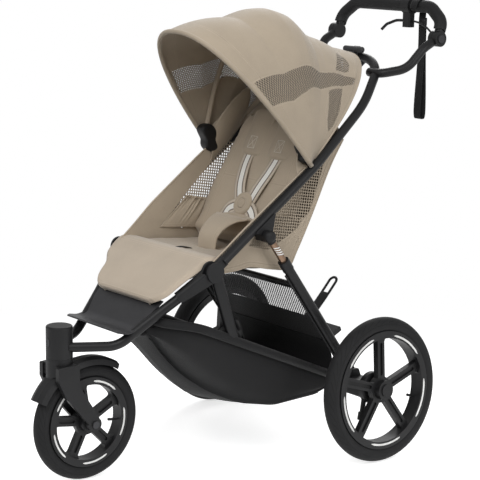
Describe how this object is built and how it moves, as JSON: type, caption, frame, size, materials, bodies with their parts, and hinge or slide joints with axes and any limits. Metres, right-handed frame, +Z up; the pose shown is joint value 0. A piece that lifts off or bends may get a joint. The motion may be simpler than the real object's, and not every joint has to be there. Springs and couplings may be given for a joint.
{
  "type": "jogging stroller",
  "caption": "Folding three-wheeled baby stroller with a swivelling front wheel, sling seat, harness, canopy, tilting handlebar and underseat basket.",
  "frame": {"origin": "on the ground under the middle of the stroller's footprint", "axes": "+Z up, front of the stroller towards -Y, the stroller's left side towards +X; symmetric about X = 0 apart from the brake lever and wrist strap"},
  "size_m": [0.6616, 1.086, 1.0735],
  "materials": {
    "frame_black": "satin black powder coat",
    "leg_bronze": "bronze anodised",
    "dark_plastic": "fine moulded grain",
    "footrest_plastic": "satin moulded plastic",
    "wheel_plastic": "moulded nylon",
    "tyre_rubber": "black air tyre",
    "canopy_cloth": "taupe woven polyester",
    "seat_cloth": "taupe padded woven polyester",
    "leg_rest_cloth": "light taupe coated cloth",
    "basket_cloth": "black coated cloth and mesh",
    "webbing": "woven webbing",
    "grip_foam": "soft leatherette foam",
    "steel": "bright zinc",
    "cable_black": "cable jacket",
    "button_grey": "grey plastic"
  },
  "bodies": {
    "chassis": {"left_front_tube": "frame_black", "right_front_tube": "frame_black", "head_housing": "dark_plastic", "footrest": "footrest_plastic", "left_fold_hub": "dark_plastic", "right_fold_hub": "dark_plastic", "struts": "frame_black", "basket_rail": "frame_black", "axle_tube": "frame_black", "left_axle_knuckle": "dark_plastic", "right_axle_knuckle": "dark_plastic", "brake_drums": "dark_plastic", "basket": "basket_cloth", "leg_rest": "leg_rest_cloth", "pedal_bracket": "dark_plastic", "basket_pull_loop": "basket_cloth"},
    "upper_frame": {"main_tube": "frame_black", "left_handle_arm": "frame_black", "right_handle_arm": "frame_black", "leg_brackets": "dark_plastic", "canopy_sockets": "dark_plastic", "rear_bow": "frame_black", "canopy_rear_panel": "canopy_cloth", "seat_pad": "seat_cloth", "left_side_panel": "seat_cloth", "right_side_panel": "seat_cloth", "crotch_strap": "seat_cloth", "buckle_shell": "dark_plastic"},
    "buckle_button": {"buckle_button": "button_grey"},
    "fold_catch": {"fold_catch": "button_grey"},
    "backrest": {"backrest": "seat_cloth", "back_cover": "seat_cloth", "chest_pads": "seat_cloth", "harness_straps": "webbing"},
    "handlebar": {"handle_loop": "frame_black", "handle_grip": "grip_foam", "lever_clamp": "dark_plastic", "wrist_strap": "webbing", "brake_cable": "cable_black"},
    "brake_lever": {"brake_lever": "dark_plastic"},
    "left_tilt_button": {"left_tilt_button": "button_grey"},
    "right_tilt_button": {"right_tilt_button": "button_grey"},
    "steering_fork": {"front_fork": "dark_plastic", "front_fender": "dark_plastic", "front_axle": "steel"},
    "front_wheel": {"front_rim": "wheel_plastic", "front_tyre": "tyre_rubber"},
    "left_rear_wheel": {"left_rear_rim": "wheel_plastic", "left_rear_tyre": "tyre_rubber"},
    "right_rear_wheel": {"right_rear_rim": "wheel_plastic", "right_rear_tyre": "tyre_rubber"},
    "rear_legs": {"rear_leg_frame": "frame_black", "leg_cables": "cable_black", "basket_rear_panel": "basket_cloth"},
    "leg_sliders": {"leg_inner_tubes": "leg_bronze"},
    "front_canopy": {"front_bow": "frame_black", "canopy_front_panel": "canopy_cloth"},
    "mid_canopy": {"mid_bow": "frame_black"},
    "brake_pedal": {"brake_pedal": "dark_plastic"},
    "lock_button": {"lock_button": "button_grey"}
  },
  "joints": [
    {"name": "frame_fold", "type": "hinge", "parent": "chassis", "child": "upper_frame", "pos_m": [0, -0.1855, 0.483], "axis": [1, 0, 0], "range_deg": [0, 120]},
    {"name": "leg_swing", "type": "hinge", "parent": "chassis", "child": "rear_legs", "pos_m": [0, 0.2235, 0.19], "axis": [1, 0, 0], "range_deg": [0, 18.4]},
    {"name": "leg_extend", "type": "slide", "parent": "rear_legs", "child": "leg_sliders", "axis": [0, -0.595, 0.8037], "range_m": [0, 0.21]},
    {"name": "backrest_recline", "type": "hinge", "parent": "upper_frame", "child": "backrest", "pos_m": [0, 0.0385, 0.497], "axis": [-1, 0, 0], "range_deg": [0, 28], "deforming": ["harness_straps"]},
    {"name": "handlebar_tilt", "type": "hinge", "parent": "upper_frame", "child": "handlebar", "pos_m": [0, 0.4985, 0.979], "axis": [1, 0, 0], "range_deg": [-40, 40]},
    {"name": "brake_lever_squeeze", "type": "hinge", "parent": "handlebar", "child": "brake_lever", "pos_m": [0.058, 0.5205, 1.016], "axis": [0, 1, 0], "range_deg": [0, 14], "stiffness_Nm_per_rad": 0.4, "springref_deg": -14.32},
    {"name": "left_tilt_press", "type": "slide", "parent": "handlebar", "child": "left_tilt_button", "axis": [-1, 0, 0], "range_m": [0, 0.0025], "stiffness_N_per_m": 400, "springref_m": -0.002},
    {"name": "right_tilt_press", "type": "slide", "parent": "handlebar", "child": "right_tilt_button", "axis": [1, 0, 0], "range_m": [0, 0.0025], "stiffness_N_per_m": 400, "springref_m": -0.002},
    {"name": "fold_release", "type": "slide", "parent": "upper_frame", "child": "fold_catch", "axis": [0, -0.5828, 0.8126], "range_m": [0, 0.008], "stiffness_N_per_m": 500, "springref_m": -0.006},
    {"name": "buckle_press", "type": "slide", "parent": "upper_frame", "child": "buckle_button", "axis": [0, 0.8988, -0.4384], "range_m": [0, 0.002], "stiffness_N_per_m": 400, "springref_m": -0.002},
    {"name": "canopy_fold", "type": "hinge", "parent": "upper_frame", "child": "front_canopy", "pos_m": [0, 0.0665, 0.734], "axis": [-1, 0, 0], "range_deg": [0, 76], "deforming": ["canopy_front_panel"]},
    {"name": "mid_bow_fold", "type": "hinge", "parent": "upper_frame", "child": "mid_canopy", "pos_m": [0, 0.0665, 0.734], "axis": [-1, 0, 0], "range_deg": [0, 32], "deforming": ["canopy_rear_panel"]},
    {"name": "steering_swivel", "type": "hinge", "parent": "chassis", "child": "steering_fork", "pos_m": [0, -0.4765, 0.3], "axis": [0, 0, 1], "continuous": true},
    {"name": "front_wheel_spin", "type": "hinge", "parent": "steering_fork", "child": "front_wheel", "pos_m": [0, -0.4075, 0.1355], "axis": [1, 0, 0], "continuous": true},
    {"name": "left_rear_wheel_spin", "type": "hinge", "parent": "chassis", "child": "left_rear_wheel", "pos_m": [0.3012, 0.2235, 0.17163], "axis": [0.9976, 0, 0.0698], "continuous": true},
    {"name": "right_rear_wheel_spin", "type": "hinge", "parent": "chassis", "child": "right_rear_wheel", "pos_m": [-0.3012, 0.2235, 0.17163], "axis": [0.9976, 0, -0.0698], "continuous": true},
    {"name": "brake_pedal_press", "type": "hinge", "parent": "chassis", "child": "brake_pedal", "pos_m": [0, 0.2495, 0.17857], "axis": [-1, 0, 0], "range_deg": [0, 20]},
    {"name": "swivel_lock_press", "type": "slide", "parent": "chassis", "child": "lock_button", "axis": [0, 1, 0], "range_m": [0, 0.0025], "stiffness_N_per_m": 400, "springref_m": -0.002}
  ],
  "couplings": [
    {"joint": "leg_swing", "follows": "frame_fold", "ratio": 0.1525},
    {"joint": "leg_extend", "follows": "frame_fold", "m_per_rad": 0.10008},
    {"joint": "mid_bow_fold", "follows": "canopy_fold", "ratio": 0.42}
  ]
}
